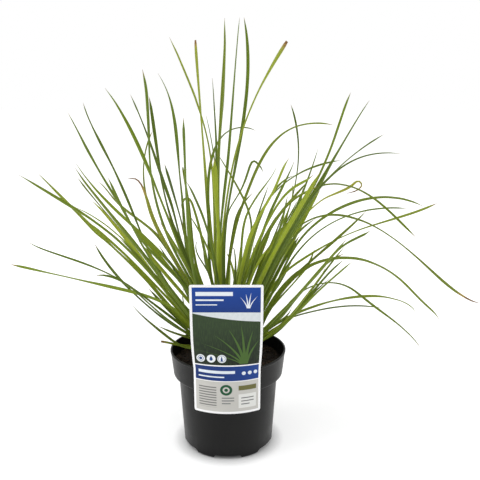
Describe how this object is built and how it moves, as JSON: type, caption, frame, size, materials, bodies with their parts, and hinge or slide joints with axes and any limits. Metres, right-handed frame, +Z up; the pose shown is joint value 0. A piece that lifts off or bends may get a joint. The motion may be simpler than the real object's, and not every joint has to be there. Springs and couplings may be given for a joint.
{
  "type": "potted lomandra",
  "caption": "Tufted lomandra with long arching strap leaves in a dark plastic nursery pot, with a care label hung over the rim.",
  "frame": {"origin": "middle of the flat underside of the pot", "axes": "+Z up along the pot's axis, -Y towards the side with the label, +X to the right seen from there"},
  "size_m": [0.6121, 0.4297, 0.5199],
  "materials": {
    "pot": "satin, faintly marbled charcoal plastic",
    "mix": "damp composted bark and peat",
    "label": "printed semi-gloss plastic sheet",
    "leaf": "waxy, finely ribbed leaf"
  },
  "bodies": {
    "root": {"pot": "pot", "potting_mix": "mix", "plant_label": "label", "shoot_01": "leaf", "shoot_02": "leaf", "shoot_03": "leaf", "shoot_04": "leaf", "shoot_05": "leaf", "shoot_06": "leaf", "shoot_07": "leaf", "shoot_08": "leaf", "shoot_09": "leaf", "shoot_10": "leaf", "shoot_11": "leaf", "shoot_12": "leaf", "shoot_13": "leaf", "shoot_14": "leaf", "shoot_15": "leaf", "shoot_16": "leaf", "shoot_17": "leaf", "shoot_18": "leaf", "shoot_19": "leaf", "shoot_20": "leaf", "shoot_21": "leaf", "shoot_22": "leaf", "shoot_23": "leaf", "shoot_24": "leaf", "shoot_25": "leaf", "shoot_26": "leaf", "shoot_27": "leaf", "shoot_28": "leaf", "shoot_29": "leaf", "shoot_30": "leaf", "shoot_31": "leaf", "shoot_32": "leaf", "shoot_33": "leaf", "shoot_34": "leaf", "shoot_35": "leaf", "shoot_36": "leaf", "shoot_37": "leaf", "shoot_38": "leaf", "shoot_39": "leaf", "shoot_40": "leaf", "shoot_41": "leaf", "shoot_42": "leaf", "shoot_43": "leaf", "shoot_44": "leaf", "shoot_45": "leaf", "shoot_46": "leaf", "shoot_47": "leaf", "shoot_48": "leaf", "shoot_49": "leaf", "shoot_50": "leaf"}
  },
  "joints": []
}
